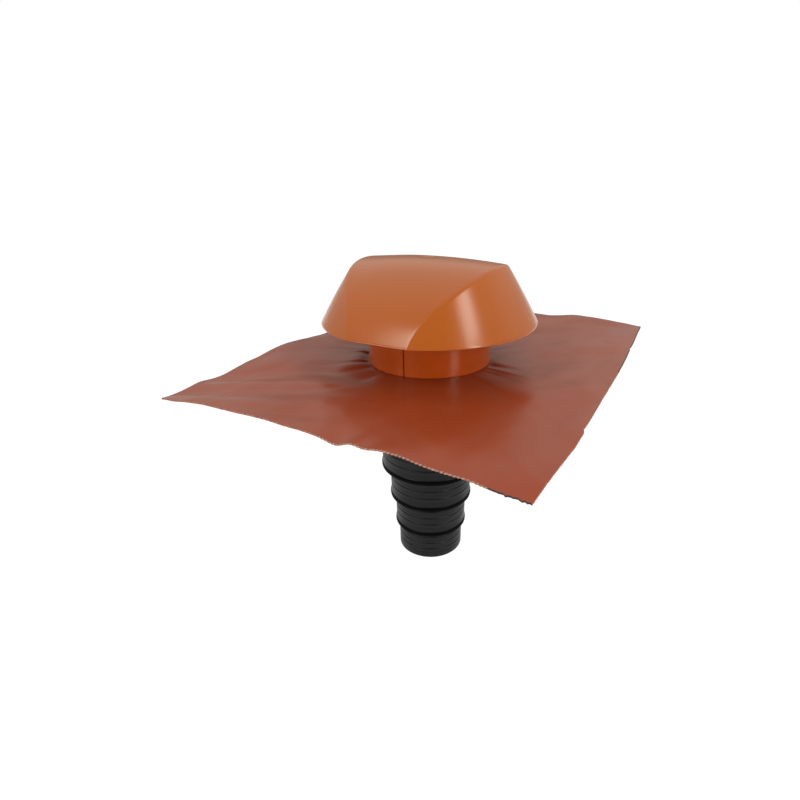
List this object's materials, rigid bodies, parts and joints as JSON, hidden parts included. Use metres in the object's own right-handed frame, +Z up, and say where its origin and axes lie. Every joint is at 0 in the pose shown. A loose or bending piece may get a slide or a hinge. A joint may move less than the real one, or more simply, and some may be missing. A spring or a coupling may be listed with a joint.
{
  "type": "roof vent cap",
  "caption": "Terracotta plastic roof vent cap: arched hood on a short collar, a limp flashing sheet round it, and a stepped black rubber sleeve below that takes the duct.",
  "frame": {"origin": "on the duct axis at the roof plane, at the top of the sleeve's cuff, 2 mm under the flashing sheet", "axes": "+Z up along the duct axis, towards the hood; +X along the hood's ridge; +Y along the long side of the sheet"},
  "size_m": [0.4767, 0.6022, 0.4625],
  "materials": {
    "hood_plastic": "satin",
    "sheet": "satin, fine leather grain",
    "sleeve_rubber": "matte",
    "tube_plastic": "satin",
    "cage_plastic": "satin",
    "screw_steel": "zinc plated"
  },
  "bodies": {
    "root": {"hood": "hood_plastic", "collar_band": "hood_plastic", "flashing_sheet": "sheet", "stepped_sleeve": "sleeve_rubber", "base_tube": "tube_plastic", "guard_cage": "cage_plastic", "cage_bars": "cage_plastic", "hood_screws": "screw_steel"}
  },
  "joints": []
}
